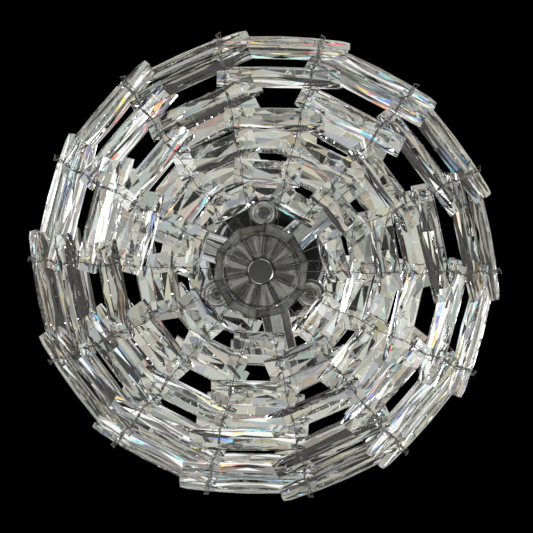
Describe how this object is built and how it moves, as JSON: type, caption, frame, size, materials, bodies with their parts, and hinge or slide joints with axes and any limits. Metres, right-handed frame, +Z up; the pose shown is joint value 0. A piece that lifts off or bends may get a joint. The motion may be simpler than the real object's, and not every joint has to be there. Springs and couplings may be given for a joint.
{
  "type": "crystal pendant light",
  "caption": "Pendant light: a globe of long cut-crystal bars wired in offset rows round chrome-sleeved lamps, with a faceted dish below, hung on a stem from a round canopy.",
  "frame": {"origin": "middle of the ceiling bracket's top face, between its two screw holes, where it meets the ceiling", "axes": "+Z points up at the ceiling and the light hangs down along -Z; +X runs along the ceiling bracket"},
  "size_m": [0.4747, 0.4701, 0.7876],
  "materials": {
    "zinc_steel": "bright zinc-plated steel",
    "chrome_metal": "polished chrome plate",
    "white_plastic": "plain moulded",
    "cable_sheath": "clear grey sheath",
    "cap_metal": "satin",
    "lamp_glass": "clear blown glass",
    "mount_wire": "bright wire",
    "crystal": "clear, cut and polished",
    "pin_wire": "dark nickel wire",
    "washer_rubber": "matt black",
    "knob_metal": "satin dark grey"
  },
  "bodies": {
    "ceiling": {"ceiling_bracket": "zinc_steel", "ceiling_hook": "zinc_steel", "hook_nut": "zinc_steel"},
    "link": {"hanging_link": "zinc_steel"},
    "pendant": {"stem_eye": "zinc_steel", "stem_tube": "chrome_metal", "terminal_block": "white_plastic", "lamp_cable": "cable_sheath", "top_plate": "chrome_metal", "stem_nuts": "chrome_metal", "hub_body": "chrome_metal", "hub_cover": "chrome_metal", "hub_connector": "white_plastic", "lamp_arms": "chrome_metal", "holder_stirrups": "zinc_steel", "lampholders": "white_plastic", "lamp_sleeves": "chrome_metal", "lower_rod": "zinc_steel", "rod_nuts": "zinc_steel", "bottom_plate": "chrome_metal", "dish_spacer": "chrome_metal", "dish_washer": "washer_rubber", "crystals_equator": "crystal", "crystals_row_1": "crystal", "crystals_row_2": "crystal", "crystals_row_3": "crystal", "crystals_row_4": "crystal", "crystals_row_5": "crystal", "crystals_row_6": "crystal", "crystals_row_7": "crystal", "crystals_row_8": "crystal", "crystals_row_9": "crystal", "wire_links_upper": "pin_wire", "wire_links_lower": "pin_wire", "wire_ties_top": "pin_wire", "wire_ties_bottom": "pin_wire"},
    "canopy": {"canopy_cup": "chrome_metal", "canopy_collar": "chrome_metal"},
    "thumb_screw": {"canopy_thumb_screw": "chrome_metal"},
    "lamp_1": {"bulb_cap_1": "cap_metal", "bulb_glass_1": "lamp_glass", "bulb_mount_1": "mount_wire"},
    "lamp_2": {"bulb_cap_2": "cap_metal", "bulb_glass_2": "lamp_glass", "bulb_mount_2": "mount_wire"},
    "lamp_3": {"bulb_cap_3": "cap_metal", "bulb_glass_3": "lamp_glass", "bulb_mount_3": "mount_wire"},
    "lamp_4": {"bulb_cap_4": "cap_metal", "bulb_glass_4": "lamp_glass", "bulb_mount_4": "mount_wire"},
    "lamp_5": {"bulb_cap_5": "cap_metal", "bulb_glass_5": "lamp_glass", "bulb_mount_5": "mount_wire"},
    "lamp_6": {"bulb_cap_6": "cap_metal", "bulb_glass_6": "lamp_glass", "bulb_mount_6": "mount_wire"},
    "dish": {"crystal_dish": "crystal"},
    "knob": {"bottom_knob": "knob_metal"}
  },
  "joints": [
    {"name": "link_swing", "type": "hinge", "parent": "ceiling", "child": "link", "pos_m": [0, 0, -0.0335], "axis": [1, 0, 0], "range_deg": [-4, 4]},
    {"name": "pendant_swing", "type": "hinge", "parent": "link", "child": "pendant", "pos_m": [0, 0, -0.04495], "axis": [0, 1, 0], "range_deg": [-4, 4]},
    {"name": "canopy_slide", "type": "slide", "parent": "pendant", "child": "canopy", "axis": [0, 0, -1], "range_m": [0, 0.135]},
    {"name": "thumb_screw_turn", "type": "hinge", "parent": "canopy", "child": "thumb_screw", "pos_m": [0.014, 0, -0.101], "axis": [1, 0, 0], "continuous": true},
    {"name": "lamp_1_unscrew", "type": "hinge", "parent": "pendant", "child": "lamp_1", "pos_m": [0.04459, -0.04015, -0.51565], "axis": [0.7431, -0.6691, 0], "continuous": true},
    {"name": "lamp_2_unscrew", "type": "hinge", "parent": "pendant", "child": "lamp_2", "pos_m": [-0.05706, -0.01854, -0.51565], "axis": [-0.9511, -0.309, 0], "continuous": true},
    {"name": "lamp_3_unscrew", "type": "hinge", "parent": "pendant", "child": "lamp_3", "pos_m": [0.01247, 0.05869, -0.51565], "axis": [0.2079, 0.9781, 0], "continuous": true},
    {"name": "lamp_4_unscrew", "type": "hinge", "parent": "pendant", "child": "lamp_4", "pos_m": [0, -0.0535, -0.56965], "axis": [0, 0, -1], "continuous": true},
    {"name": "lamp_5_unscrew", "type": "hinge", "parent": "pendant", "child": "lamp_5", "pos_m": [-0.04633, 0.02675, -0.56965], "axis": [0, 0, -1], "continuous": true},
    {"name": "lamp_6_unscrew", "type": "hinge", "parent": "pendant", "child": "lamp_6", "pos_m": [0.04633, 0.02675, -0.56965], "axis": [0, 0, -1], "continuous": true},
    {"name": "dish_turn", "type": "hinge", "parent": "pendant", "child": "dish", "pos_m": [0, 0, -0.77465], "axis": [0, 0, 1], "continuous": true},
    {"name": "knob_unscrew", "type": "hinge", "parent": "pendant", "child": "knob", "pos_m": [0, 0, -0.78465], "axis": [0, 0, -1], "continuous": true}
  ]
}
